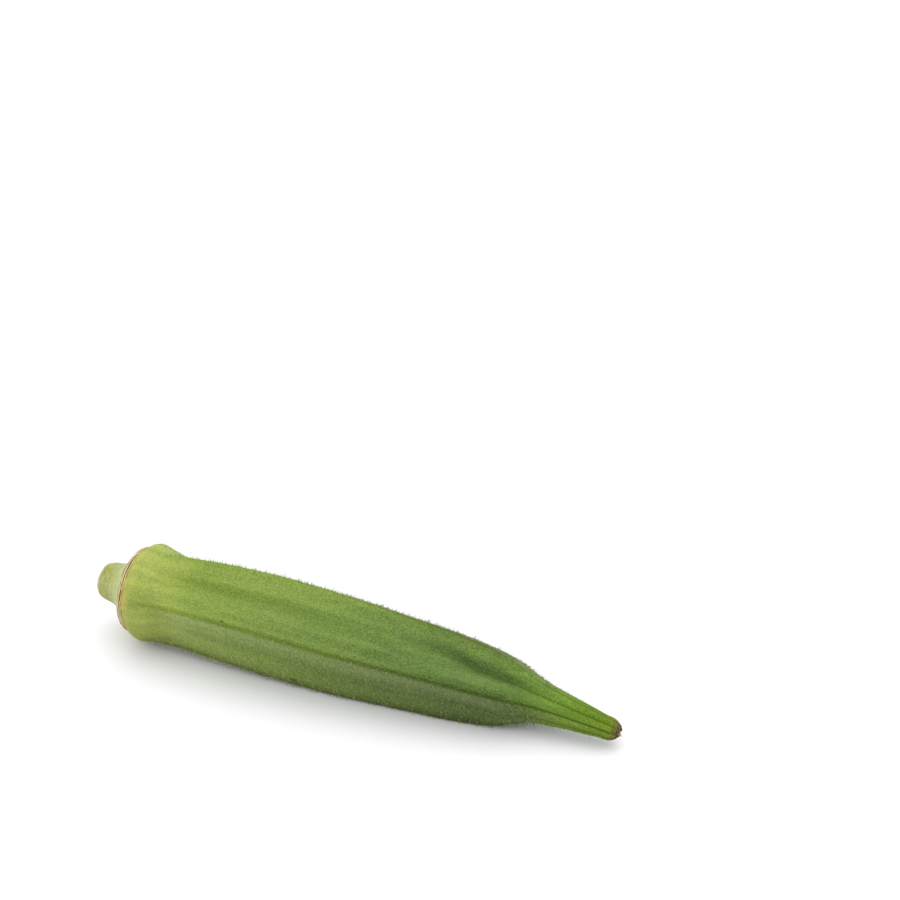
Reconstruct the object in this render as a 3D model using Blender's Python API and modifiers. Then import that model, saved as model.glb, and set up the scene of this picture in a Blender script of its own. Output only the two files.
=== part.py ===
"""A freshly picked okra pod, lying on a flat surface, grown as one piece.

The pod is turned from an outline, pressed into five ridges and bent along its own middle line.
Metres, +Z up, +X from the stem to the tip. The origin is on the surface, under the middle of the
pod's box.
"""
import math

import bmesh
import bpy
import numpy as np
from mathutils import Matrix, Vector

MM = 0.001

# Driving dimensions, in millimetres along the pod from the cut end of its stem.
POD_LENGTH = 115.2
RING_AT = 8.8
RING_RADIUS = 9.0
BELLY_AT = 50.0
BELLY_RADIUS = 10.9
TIP_RADIUS = 1.8

# Outline of the turned pod: (distance from the cut end, radius over the ridges).
STEM = ((0.0, 0.0), (0.0, 3.3), (0.7, 3.95), (4.6, 4.9), (6.6, 6.5), (8.0, 8.45))
RING = ((RING_AT, RING_RADIUS), (RING_AT + 0.7, RING_RADIUS + 0.05))
COLLAR = ((11.0, 10.25), (14.2, 9.95), (19.7, 9.9))
BODY = ((29.5, 10.5), (BELLY_AT, BELLY_RADIUS), (69.5, 9.85), (84.5, 8.55), (91.5, 7.1))
TAPER = ((97.5, 4.65), (104.5, 3.35), (111.0, 2.45))
TIP = ((POD_LENGTH - 0.9, TIP_RADIUS), (POD_LENGTH, 0.0))
OUTLINE = STEM + RING + COLLAR + BODY + TAPER + TIP
SHARP_POINTS = 2  # the cut face's centre and edge, joined by a straight line

# How far each face sinks below its ridges: (distance from the cut end, share of the radius).
RIDGES = 5
HOLLOW = ((RING_AT, 0.0), (13.7, 0.035), (20.0, 0.23), (32.0, 0.225), (60.0, 0.22), (84.0, 0.23),
          (95.0, 0.08), (105.0, 0.01), (POD_LENGTH, 0.0))
RIDGE_ROUNDING = 5.0  # degrees around the pod, either side of a ridge

# Middle line of the bent pod: (along, sideways, up), in millimetres.
SPINE = ((0.0, 1.2, 1.3), (8.0, 0.9, 1.05), (25.0, 0.7, 1.4), (60.0, 0.4, -0.1), (90.0, 0.25, -2.15),
         (POD_LENGTH, -0.5, -5.6))

# Turns, in degrees, that bring the grown pod to where it rests.
REST_ROLL = 0.0
REST_PITCH = 0.21

SIDES = 60  # turned steps, a whole number to each ridge and each face
STEPS_PER_SPAN = 3  # steps between two points of the outline
SPINE_STEPS = 32
WELD = 0.00001

SKIN_COLOUR = (0.20, 0.34, 0.09, 1.0)


def clear_scene():
    for thing in list(bpy.data.objects):
        bpy.data.objects.remove(thing, do_unlink=True)


def collection(name):
    made = bpy.data.collections.new(name)
    bpy.context.scene.collection.children.link(made)
    return made


def smooth_curve(name, points, steps, straight=0):
    """A curve through points; its first few are joined by straight lines."""
    curve = bpy.data.curves.new(name, "CURVE")
    curve.dimensions = "3D"
    curve.resolution_u = steps
    spline = curve.splines.new("BEZIER")
    spline.bezier_points.add(len(points) - 1)
    for number, (knot, point) in enumerate(zip(spline.bezier_points, points)):
        knot.co = Vector(point) * MM
        kind = "VECTOR" if number < straight else "AUTO"
        knot.handle_left_type = kind
        knot.handle_right_type = kind
    return curve


def evaluated_mesh(thing):
    depsgraph = bpy.context.evaluated_depsgraph_get()
    return bpy.data.meshes.new_from_object(thing.evaluated_get(depsgraph))


def turned_pod(guides):
    """The round pod: its outline runs from the cut end, at the top, down to the tip."""
    points = [(radius, 0.0, -along) for along, radius in OUTLINE]
    outline = smooth_curve("outline", points, STEPS_PER_SPAN, SHARP_POINTS)
    turned = bpy.data.objects.new("outline", outline)
    guides.objects.link(turned)
    screw = turned.modifiers.new("turn", "SCREW")
    screw.steps = SIDES
    screw.render_steps = SIDES
    screw.use_merge_vertices = True
    screw.merge_threshold = WELD
    mesh = evaluated_mesh(turned)
    bpy.data.objects.remove(turned)
    return mesh


def sunk(around):
    """0 on a ridge and 1 in the middle of a face, as across the flat sides of a polygon."""
    half_face = math.pi / RIDGES
    soft = math.radians(RIDGE_ROUNDING)
    from_ridge = math.acos(math.cos(RIDGES * around)) / RIDGES
    rounded = (math.hypot(from_ridge, soft) - soft) / (math.hypot(half_face, soft) - soft)
    side = math.cos(half_face) / math.cos(half_face * (1.0 - rounded))
    return (1.0 - side) / (1.0 - math.cos(half_face))


def press_ridges(mesh):
    """Sinks the five faces between the ridges, and lays the pod along +X with a ridge on top."""
    places, depths = zip(*HOLLOW)
    for vertex in mesh.vertices:
        up, side, along = vertex.co.x, vertex.co.y, -vertex.co.z
        depth = float(np.interp(along / MM, places, depths))
        keep = 1.0 - depth * sunk(math.atan2(side, up))
        vertex.co = (along, side * keep, up * keep)


def bend(pod, guides):
    """Bends the straight pod along its middle line."""
    spine = bpy.data.objects.new("spine", smooth_curve("spine", SPINE, SPINE_STEPS))
    guides.objects.link(spine)
    spine.hide_render = True
    spine.display_type = "WIRE"
    modifier = pod.modifiers.new("bend", "CURVE")
    modifier.object = spine
    modifier.deform_axis = "POS_X"
    bent = evaluated_mesh(pod)
    pod.modifiers.clear()
    pod.data = bent


def lay_to_rest(mesh):
    """Rolls and pitches the pod to where it rests, on the surface and over the origin."""
    roll = Matrix.Rotation(math.radians(REST_ROLL), 4, "X")
    pitch = Matrix.Rotation(math.radians(REST_PITCH), 4, "Y")
    mesh.transform(pitch @ roll)
    points = np.array([vertex.co for vertex in mesh.vertices])
    low, high = points.min(axis=0), points.max(axis=0)
    middle = (low + high) / 2.0
    mesh.transform(Matrix.Translation((-middle[0], -middle[1], -low[2])))


def close_and_smooth(mesh):
    """Welds the turned seam and both poles, and shades the round skin smooth."""
    body = bmesh.new()
    body.from_mesh(mesh)
    bmesh.ops.remove_doubles(body, verts=body.verts, dist=WELD)
    bmesh.ops.recalc_face_normals(body, faces=body.faces)
    body.to_mesh(mesh)
    body.free()
    mesh.shade_smooth()
    mesh.set_sharp_from_angle(angle=math.radians(40.0))


def skin():
    material = bpy.data.materials.new("okra_skin")
    material.use_nodes = True
    shader = material.node_tree.nodes["Principled BSDF"]
    shader.inputs["Base Color"].default_value = SKIN_COLOUR
    shader.inputs["Roughness"].default_value = 0.6
    shader.inputs["Metallic"].default_value = 0.0
    return material


def okra_pod():
    parts = collection("okra_pod")
    guides = collection("guides")
    mesh = turned_pod(guides)
    press_ridges(mesh)
    pod = bpy.data.objects.new("okra_pod", mesh)
    parts.objects.link(pod)
    bend(pod, guides)
    pod.data.materials.append(skin())
    close_and_smooth(pod.data)
    lay_to_rest(pod.data)


clear_scene()
okra_pod()
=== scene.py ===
"""A freshly picked okra pod lying on a pale table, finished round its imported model."""
import math

import bmesh
import bpy
import numpy as np
from mathutils import Matrix, Vector


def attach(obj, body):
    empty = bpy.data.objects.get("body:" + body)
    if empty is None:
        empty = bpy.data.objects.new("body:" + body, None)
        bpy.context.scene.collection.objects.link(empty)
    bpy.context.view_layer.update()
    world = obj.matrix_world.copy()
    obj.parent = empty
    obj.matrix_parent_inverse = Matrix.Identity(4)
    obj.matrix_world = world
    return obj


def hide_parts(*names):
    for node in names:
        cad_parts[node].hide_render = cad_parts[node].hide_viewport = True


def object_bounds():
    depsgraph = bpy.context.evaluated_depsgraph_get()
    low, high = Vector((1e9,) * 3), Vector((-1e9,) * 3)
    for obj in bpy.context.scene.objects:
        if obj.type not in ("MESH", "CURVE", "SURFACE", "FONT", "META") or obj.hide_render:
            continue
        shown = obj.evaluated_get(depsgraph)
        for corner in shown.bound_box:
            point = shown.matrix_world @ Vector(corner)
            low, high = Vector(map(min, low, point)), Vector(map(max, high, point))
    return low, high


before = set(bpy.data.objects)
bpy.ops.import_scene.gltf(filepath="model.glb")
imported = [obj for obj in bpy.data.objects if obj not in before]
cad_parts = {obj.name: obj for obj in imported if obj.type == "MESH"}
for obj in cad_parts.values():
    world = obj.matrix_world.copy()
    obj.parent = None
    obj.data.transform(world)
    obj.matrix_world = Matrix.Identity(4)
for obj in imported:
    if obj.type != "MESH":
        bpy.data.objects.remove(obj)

cad_low, cad_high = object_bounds()
MM = 0.001


# ---------------------------------------------------------------------------------------------
# Camera. A long lens looks down at the pod's side from over its tip. The pod lies left of the
# view's centre and below it.
AZIMUTH = math.radians(22.4)
ELEVATION = math.radians(28.1)
DISTANCE = 0.4535
LENS_MM = 90.0
VIEW_RIGHT, VIEW_UP = 0.0200, 0.0378  # from the pod's middle to the view's centre

middle = (Vector(cad_low) + Vector(cad_high)) / 2.0
back = Vector((math.sin(AZIMUTH) * math.cos(ELEVATION),
               -math.cos(AZIMUTH) * math.cos(ELEVATION),
               math.sin(ELEVATION)))
camera = bpy.data.objects.new("camera", bpy.data.cameras.new("camera"))
bpy.context.scene.collection.objects.link(camera)
camera.data.lens = LENS_MM
turn = (-back).to_track_quat("-Z", "Y")
camera.rotation_euler = turn.to_euler()
camera.location = middle + back * DISTANCE + turn @ Vector((VIEW_RIGHT, VIEW_UP, 0.0))
bpy.context.scene.camera = camera


# ---------------------------------------------------------------------------------------------
# Pod wall. The okra's green outer wall grows in one piece from the ring scar to the tip. Five
# ridges run along it, with nearly flat faces between, and ten fine ribs draw together at the tip.
POD_LENGTH = 115.2  # all lengths of the pod are in millimetres from the cut end of its stem
RING_AT, RING_RADIUS = 8.8, 9.0
COLLAR = ((11.0, 10.25), (14.2, 9.95), (19.7, 9.9))
BODY = ((29.5, 10.5), (50.0, 10.9), (69.5, 9.85), (84.5, 8.55), (91.5, 7.1))
TAPER = ((97.5, 4.65), (104.5, 3.35), (111.0, 2.45))
TIP = ((POD_LENGTH - 0.9, 1.8), (POD_LENGTH, 0.0))
WALL = (((RING_AT + 0.4, 8.1), (RING_AT + 0.1, 8.7), (RING_AT + 0.3, RING_RADIUS + 0.05),
         (RING_AT + 0.9, RING_RADIUS + 0.35)) + COLLAR + BODY + TAPER + TIP)
WALL_STATIONS, WALL_SIDES = 330, 290
WELD = 0.00001  # metres
SPINE = ((0.0, 1.2, 1.3), (8.0, 0.9, 1.05), (25.0, 0.7, 1.4), (60.0, 0.4, -0.1),
         (90.0, 0.25, -2.15), (POD_LENGTH, -0.5, -5.6))
REST_PITCH = math.radians(0.21)
HALF_FACE = math.pi / 5.0
RIDGE_ROUNDING = math.radians(4.0)
HOLLOW = ((0.0, 0.0), (RING_AT, 0.0), (13.7, 0.035), (20.0, 0.23), (32.0, 0.225), (60.0, 0.22),
          (84.0, 0.23), (95.0, 0.08), (105.0, 0.01), (POD_LENGTH, 0.0))
MIDDLE_RIDGE = 0.31  # the cosine of 72 degrees, the turn from one ridge to the next
MATH, VECTOR_MATH, MIX = "ShaderNodeMath", "ShaderNodeVectorMath", "ShaderNodeMix"
MAP, NOISE, CELLS = "ShaderNodeMapRange", "ShaderNodeTexNoise", "ShaderNodeTexVoronoi"


def linear(code):
    """An sRGB hex colour as linear red, green, blue and alpha."""
    parts = [int(code[i:i + 2], 16) / 255.0 for i in (1, 3, 5)]
    return [p / 12.92 if p <= 0.04045 else ((p + 0.055) / 1.055) ** 2.4 for p in parts] + [1.0]


def add(tree, kind, *values, stops=(), **settings):
    """Adds a node, sets it up, and gives its shown inputs their values or links, in order."""
    node = tree.nodes.new(kind)
    for name, setting in settings.items():
        setattr(node, name, setting)
    for number, (place, code) in enumerate(stops):
        ramp = node.color_ramp.elements
        if number == 0:
            ramp.remove(ramp[1])
        stop = ramp.new(place) if number else ramp[0]
        stop.position, stop.color = place, linear(code)
    shown = [socket for socket in node.inputs if socket.enabled]
    for number, value in enumerate(values):
        if isinstance(value, str) and value.startswith("#"):
            value = linear(value)
        if isinstance(value, bpy.types.Node):
            value = next(socket for socket in value.outputs if socket.enabled)
        if isinstance(value, bpy.types.NodeSocket):
            tree.links.new(value, shown[number])
        elif value is not None:
            shown[number].default_value = value
    return node


def new_material(name):
    """An empty node material."""
    material = bpy.data.materials.new(name)
    material.use_nodes = True
    material.node_tree.nodes.clear()
    return material, material.node_tree


def new_tree(name, **inputs):
    """A Geometry Nodes tree with a named input for each size, and the outputs of its input node."""
    tree = bpy.data.node_groups.new(name, "GeometryNodeTree")
    tree.interface.new_socket("Geometry", in_out="INPUT", socket_type="NodeSocketGeometry")
    for label, kind in inputs.items():
        tree.interface.new_socket(label, in_out="INPUT", socket_type="NodeSocket" + kind)
    tree.interface.new_socket("Geometry", in_out="OUTPUT", socket_type="NodeSocketGeometry")
    return tree, tree.nodes.new("NodeGroupInput").outputs


def grow(thing, tree, **sizes):
    """Puts a tree on an object, with its inputs set by their identifiers."""
    modifier = thing.modifiers.new(tree.name, "NODES")
    modifier.node_group = tree
    for socket in tree.interface.items_tree:
        if socket.name in sizes:
            modifier[socket.identifier] = sizes[socket.name]


def put(name, data):
    """A new object in the scene."""
    made = bpy.data.objects.new(name, data)
    bpy.context.scene.collection.objects.link(made)
    return made


def smooth_curve(name, points, steps):
    """A curve object through points given in millimetres."""
    curve = bpy.data.curves.new(name, "CURVE")
    curve.dimensions = "3D"
    curve.resolution_u = steps
    spline = curve.splines.new("BEZIER")
    spline.bezier_points.add(len(points) - 1)
    for knot, point in zip(spline.bezier_points, points):
        knot.co = Vector(point) * MM
        knot.handle_left_type = knot.handle_right_type = "AUTO"
    return put(name, curve)


def plain_mesh(thing):
    """The object's evaluated shape as a mesh of its own; the object is removed."""
    depsgraph = bpy.context.evaluated_depsgraph_get()
    mesh = bpy.data.meshes.new_from_object(
        thing.evaluated_get(depsgraph), preserve_all_data_layers=True, depsgraph=depsgraph)
    bpy.data.objects.remove(thing)
    return mesh


def turned(name, outline, stations, sides):
    """A round shape turned from (distance along, radius) points, upright with its start on top."""
    profile = plain_mesh(smooth_curve(name, [(r, 0.0, -s) for s, r in outline], 24))
    line = np.array([vertex.co for vertex in profile.vertices])
    step = np.linalg.norm(np.diff(line, axis=0), axis=1)
    run = np.concatenate(([0.0], np.cumsum(step)))
    even = np.linspace(0.0, run[-1], stations)
    points = np.stack([np.interp(even, run, line[:, axis]) for axis in range(3)], axis=1)
    mesh = bpy.data.meshes.new(name)
    mesh.from_pydata(points.tolist(), [(i, i + 1) for i in range(stations - 1)], [])
    thing = put(name, mesh)
    screw = thing.modifiers.new("turn", "SCREW")
    screw.steps = screw.render_steps = sides
    screw.use_merge_vertices = True
    screw.merge_threshold = WELD
    mesh = plain_mesh(thing)
    body = bmesh.new()
    body.from_mesh(mesh)
    bmesh.ops.remove_doubles(body, verts=body.verts, dist=WELD)
    bmesh.ops.holes_fill(body, edges=[edge for edge in body.edges if edge.is_boundary])
    bmesh.ops.recalc_face_normals(body, faces=body.faces)
    body.to_mesh(mesh)
    body.free()
    mesh.shade_smooth()
    return put(name, mesh)


# Plant skin under a fine down. Its colour runs from yellow green at the collar, through grass
# green, to a deep green before the tip, and the tip itself is a bright yellow green.
skin, tree = new_material("okra_skin_downy")
straight = add(tree, "ShaderNodeAttribute", attribute_name="straight").outputs["Vector"]
ridge = add(tree, "ShaderNodeAttribute", attribute_name="from_ridge").outputs["Fac"]
seam = add(tree, "ShaderNodeAttribute", attribute_name="from_seam").outputs["Fac"]
along = add(tree, "ShaderNodeSeparateXYZ", straight).outputs["X"]
# Broad cloudy patches, about 14 mm long and 5 mm wide.
patches = add(tree, NOISE, add(tree, VECTOR_MATH, straight, (1 / 14, 1 / 5, 1 / 5),
                               operation="MULTIPLY"), 1.0, 3.0, 0.55)
# Veins under the skin, about 2 mm wide and 40 mm long.
veins = add(tree, NOISE, add(tree, VECTOR_MATH, straight, (1 / 40, 1 / 2, 1 / 2),
                             operation="MULTIPLY"), 1.0, 2.0, 0.5)
# Cell clusters and hair bases, about 0.3 mm across.
grain = add(tree, NOISE, add(tree, VECTOR_MATH, straight, 3.2, operation="SCALE"),
            1.0, 3.0, 0.65)
share = add(tree, MATH, along, POD_LENGTH, operation="DIVIDE")
shifted = add(tree, MATH, add(tree, MATH, patches, 0.5, operation="SUBTRACT"), 0.2, share,
              operation="MULTIPLY_ADD")
colour = add(tree, "ShaderNodeValToRGB", shifted, stops=(
    (0.09, "#ABB158"), (0.13, "#A0AA52"), (0.23, "#7D9338"), (0.33, "#788F3D"),
    (0.45, "#698339"), (0.61, "#536F32"), (0.72, "#45632A"), (0.80, "#476725"),
    (0.86, "#608422"), (0.93, "#557210"), (0.97, "#5C7202")))
colour = add(tree, MIX, add(tree, MAP, veins, 0.4, 0.6),
             add(tree, MIX, 0.22, colour, "#35530F", data_type="RGBA"),
             add(tree, MIX, 0.18, colour, "#98A84C", data_type="RGBA"), data_type="RGBA")
# The lower faces are painted greyer, most of all from the middle on: painted shade.
sides = add(tree, "ShaderNodeSeparateXYZ", straight)
around = add(tree, MATH, sides.outputs["Y"], sides.outputs["Z"], operation="ARCTAN2")
upness = add(tree, MATH, around, operation="COSINE")
lowness = add(tree, MAP, upness, 0.36, 0.26)
lower_face_shade = add(tree, MATH, lowness, add(tree, MAP, along, 18.0, 90.0, 0.05, 0.76),
           operation="MULTIPLY")
lower_face_shade = add(tree, MATH, lower_face_shade, add(tree, MAP, along, 95.0, 104.0, 1.0, 0.35), operation="MULTIPLY")
colour = add(tree, MIX, lower_face_shade, colour, "#343E22", data_type="RGBA")
# Before the tip the lower faces are painted darker still: painted shade.
low_tip_shade = add(tree, MATH, lowness, add(tree, MATH, add(tree, MAP, along, 78.0, 92.0, 0.0, 0.4),
                                         add(tree, MAP, along, 104.0, 95.0),
                                         operation="MULTIPLY"), operation="MULTIPLY")
colour = add(tree, MIX, low_tip_shade, colour, "#1F2A12", data_type="RGBA")
frost = add(tree, MATH, lowness, add(tree, MATH, add(tree, MAP, along, 40.0, 22.0, 0.0, 0.15),
                                     add(tree, MAP, along, 16.0, 20.0), operation="MULTIPLY"),
            operation="MULTIPLY")
colour = add(tree, MIX, frost, colour, "#B3BD8F", data_type="RGBA")
# The collar's downward half is painted a darker olive: painted shade under the collar.
collar_under_shade = add(tree, MATH, add(tree, MAP, upness, 0.0, -0.5), add(tree, MAP, along, 19.0, 15.0),
               operation="MULTIPLY")
colour = add(tree, MIX, add(tree, MATH, collar_under_shade, 0.3, operation="MULTIPLY"), colour, "#5E6B22",
             data_type="RGBA")
pale_grain = add(tree, MIX, add(tree, MAP, along, 99.0, 106.0), "#9CB05E", "#96B22A",
                 data_type="RGBA")
colour = add(tree, MIX, add(tree, MAP, grain, 0.4, 0.6),
             add(tree, MIX, 0.28, colour, "#1E3C08", data_type="RGBA"),
             add(tree, MIX, 0.24, colour, pale_grain, data_type="RGBA"), data_type="RGBA")
# Where each upper face folds into the tip it has two deep green stripes, one above its middle and
# one against its lower ridge, with paler skin between them; the stripes are partly the skin's own
# colour and partly painted shade of the fold.
radius = add(tree, VECTOR_MATH, add(tree, VECTOR_MATH, straight, (0.0, 1.0, 1.0),
                                    operation="MULTIPLY"), operation="LENGTH")
past_ridge = add(tree, MATH, add(tree, MATH, around, -1.0, operation="MULTIPLY"),
                 2.0 * HALF_FACE, operation="FLOORED_MODULO")
fold = add(tree, MATH, add(tree, MAP, along, 68.0, 84.0), add(tree, MAP, along, 101.0, 92.0),
           operation="MULTIPLY")
fold = add(tree, MATH, fold, add(tree, MAP, lowness, 0.0, 1.0, 1.0, 0.2), operation="MULTIPLY")
stripe_middle = add(tree, MAP, along, 79.0, 86.0, 0.40, 0.575)
off_stripe = add(tree, MATH, add(tree, MATH, past_ridge, stripe_middle, operation="SUBTRACT"),
                 operation="ABSOLUTE")
off_top = add(tree, MAP, upness, 0.9, 0.8)
low_stripe = add(tree, MATH, add(tree, MAP, past_ridge, 1.02, 1.12, 0.0, 0.45), off_top,
                 operation="MULTIPLY")
stripe = add(tree, MATH, add(tree, MAP, off_stripe, 0.27, 0.08, 0.0, 0.7), low_stripe,
             operation="ADD")
# The stripes: partly skin colour, partly painted shade of the fold.
deep = add(tree, MATH, stripe, fold, operation="MULTIPLY")
colour = add(tree, MIX, deep, colour, "#233C0C", data_type="RGBA")
pale = add(tree, MATH, add(tree, MATH, 1.0, add(tree, MATH, stripe, 2.0, operation="MULTIPLY"),
                           operation="SUBTRACT", use_clamp=True),
           add(tree, MATH, fold, add(tree, MAP, past_ridge, 0.3, 0.7, 0.0, 0.25),
               operation="MULTIPLY"), operation="MULTIPLY")
colour = add(tree, MIX, pale, colour, "#68834C", data_type="RGBA")
# On the tip the lower stripe goes on as a soft shade against each lower ridge.
tip_shade = add(tree, MATH, add(tree, MAP, along, 87.0, 94.0),
                add(tree, MAP, along, 112.0, 104.0, 0.3, 1.0), operation="MULTIPLY")
tip_shade = add(tree, MATH, tip_shade, add(tree, MAP, past_ridge, 0.72, 0.95, 0.0, 0.26),
                operation="MULTIPLY")
tip_shade = add(tree, MATH, tip_shade, add(tree, MATH, off_top, add(
    tree, MAP, lowness, 0.0, 1.0, 1.0, 0.1), operation="MULTIPLY"), operation="MULTIPLY")
colour = add(tree, MIX, tip_shade, colour, "#233C0C", data_type="RGBA")
# Just below the middle ridge the down shows paler, and the band is also painted light; the skin
# just above the ridge is painted a little darker, as painted shade.
downy = add(tree, MATH, add(tree, MAP, past_ridge, 0.62, 0.3, 0.0, 0.09),
            add(tree, MAP, along, 20.0, 28.0), operation="MULTIPLY")
downy = add(tree, MATH, add(tree, MATH, downy, lowness, operation="MULTIPLY"),
            add(tree, MAP, along, 96.0, 90.0), operation="MULTIPLY")
colour = add(tree, MIX, downy, colour, "#BFCB98", data_type="RGBA")
above_ridge_shade = add(tree, MATH, add(tree, MAP, past_ridge, 0.88, 1.03), add(tree, MAP, lowness, 1.0, 0.0),
            operation="MULTIPLY")
above_ridge_shade = add(tree, MATH, above_ridge_shade, add(tree, MATH, add(tree, MAP, along, 30.0, 44.0),
                                   add(tree, MAP, along, 74.0, 66.0), operation="MULTIPLY"),
            operation="MULTIPLY")
colour = add(tree, MIX, above_ridge_shade, colour, "#EDEEEB", data_type="RGBA", blend_type="MULTIPLY")
# From the collar on, the upper stripe begins as a faint streak 2 mm wide.
streak = add(tree, MATH, add(tree, MAP, along, 15.0, 22.0),
             add(tree, MAP, along, 38.0, 60.0, 1.0, 0.25), operation="MULTIPLY")
off_streak = add(tree, MATH, add(tree, MATH, past_ridge, 0.51, operation="SUBTRACT"),
                 operation="ABSOLUTE")
streak = add(tree, MATH, streak, add(tree, MAP, off_streak, 0.2, 0.03), operation="MULTIPLY")
streak = add(tree, MATH, streak, add(tree, MAP, lowness, 0.0, 1.0, 1.0, 0.1), operation="MULTIPLY")
colour = add(tree, MIX, streak, colour, "#E8ECCA", data_type="RGBA", blend_type="MULTIPLY")
# The ridge's own line is bare, a deeper and clearer green, 1 mm wide on the body and finer on
# the tip. On the uppermost ridge the line is kept lighter: painted highlight where it faces the
# lamp.
slimness = add(tree, MAP, along, 88.0, 102.0, 1.0, 0.4)
slim_ridge = add(tree, MATH, ridge, slimness, operation="DIVIDE")
topmost = add(tree, MAP, upness, 0.95, 0.99)
formed = add(tree, MAP, along, 10.0, 17.0)
kept_light = add(tree, MATH, topmost, add(tree, MAP, along, 60.0, 88.0, -0.9, -0.6), 1.0,
                 operation="MULTIPLY_ADD")
ridge_line = add(tree, MATH, add(tree, MAP, slim_ridge, 0.8, 0.15), kept_light,
                 operation="MULTIPLY")
ridge_line = add(tree, MATH, ridge_line, formed, operation="MULTIPLY")
line_colour = add(tree, MIX, add(tree, MAP, along, 25.0, 75.0), "#D9E0A6", "#BFC386",
                  data_type="RGBA")
colour = add(tree, MIX, ridge_line, colour, line_colour, data_type="RGBA", blend_type="MULTIPLY")
# A paler crest along the uppermost ridge: painted highlight.
top_ridge_highlight = add(tree, MATH, add(tree, MAP, slim_ridge, 1.5, 0.6, 0.0, 0.4), topmost,
            operation="MULTIPLY")
top_ridge_highlight = add(tree, MATH, top_ridge_highlight, add(tree, MATH, formed, add(tree, MAP, along, 60.0, 85.0, 1.0, 0.15),
                                   operation="MULTIPLY"), operation="MULTIPLY")
colour = add(tree, MIX, top_ridge_highlight, colour, "#7F9A3C", data_type="RGBA")
# On the collar the middle ridge starts as a broad faint shade.
ridge_start = add(tree, MATH, add(tree, MAP, along, 10.0, 12.5), add(tree, MAP, along, 21.0, 17.0),
                  operation="MULTIPLY")
ridge_start = add(tree, MATH, ridge_start, add(tree, MAP, ridge, 2.8, 1.2), operation="MULTIPLY")
off_middle = add(tree, MATH, add(tree, MATH, upness, MIDDLE_RIDGE, operation="SUBTRACT"),
                 operation="ABSOLUTE")
ridge_start = add(tree, MATH, ridge_start, add(tree, MAP, off_middle, 0.35, 0.25),
                  operation="MULTIPLY")
colour = add(tree, MIX, ridge_start, colour, "#E5E9EA", data_type="RGBA", blend_type="MULTIPLY")
# The collar's underside and the two ridges it lies on are a dull dark olive: partly rubbed wear,
# partly painted shadow where they meet the table.
rub_and_contact_shade = add(tree, MATH, add(tree, MAP, slim_ridge, 2.0, 0.5, 0.0, 0.6),
             add(tree, MAP, upness, -0.55, -0.68), operation="MULTIPLY")
rub_and_contact_shade = add(tree, MATH, rub_and_contact_shade, formed, operation="MULTIPLY")
collar_contact_shade = add(tree, MATH, add(tree, MAP, upness, -0.5, -0.8, 0.0, 0.55),
              add(tree, MATH, add(tree, MAP, along, 11.0, 14.0), add(tree, MAP, along, 24.0, 19.0),
                  operation="MULTIPLY"), operation="MULTIPLY")
rub_and_contact_shade = add(tree, MATH, rub_and_contact_shade, collar_contact_shade, operation="MAXIMUM")
colour = add(tree, MIX, rub_and_contact_shade, colour, "#373D16", data_type="RGBA")
# Near the tip the ridges and the seams between them draw together as ten fine dark lines.
tip_share = add(tree, MAP, along, 84.0, 98.0)
line_near = add(tree, MAP, add(tree, MATH, ridge, seam, operation="MINIMUM"), 0.34, 0.08)
tip_line = add(tree, MATH, add(tree, MATH, line_near, tip_share, operation="MULTIPLY"),
               add(tree, MAP, topmost, 0.0, 1.0, 0.6, 0.25), operation="MULTIPLY")
colour = add(tree, MIX, tip_line, colour, "#2E4C08", data_type="RGBA")
# The uppermost ridge has a thin brown thread along it from the belly to the tip.
wound = add(tree, MATH, around, add(tree, MAP, along, 88.0, 104.0, 0.0, 0.5),
            operation="SUBTRACT")
off_thread = add(tree, MATH, add(tree, MATH, wound, operation="ABSOLUTE"), radius,
                 operation="MULTIPLY")
thread = add(tree, MATH, add(tree, MAP, off_thread, 0.28, 0.1, 0.0, 0.6),
             add(tree, MAP, along, 24.0, 80.0), operation="MULTIPLY")
colour = add(tree, MIX, thread, colour, "#54461C", data_type="RGBA")
# The skin browns round the dry tip, and is yellow where it leaves the ring scar.
tip_edge = add(tree, MATH, patches, 3.0, along, operation="MULTIPLY_ADD")
browning = add(tree, MAP, tip_edge, POD_LENGTH - 0.6, POD_LENGTH + 1.2, 0.0, 0.9)
brown = add(tree, MIX, add(tree, MAP, grain, 0.45, 0.6), "#3B2A13", "#7C6430", data_type="RGBA")
colour = add(tree, MIX, browning, colour, brown, data_type="RGBA")
blush = add(tree, MATH, add(tree, MAP, along, RING_AT + 3.2, RING_AT + 0.3),
            add(tree, MAP, patches, 0.42, 0.62, 0.15, 0.75), operation="MULTIPLY")
colour = add(tree, MIX, blush, colour, "#B39A45", data_type="RGBA")
# Scattered dark specks, 0.3 mm across.
cells = add(tree, CELLS, add(tree, VECTOR_MATH, straight, (1 / 5, 1 / 5, 1 / 5),
                             operation="MULTIPLY"))
colour = add(tree, MIX, add(tree, MAP, cells, 0.05, 0.03, 0.0, 0.7), colour, "#3A3517",
             data_type="RGBA")
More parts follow.
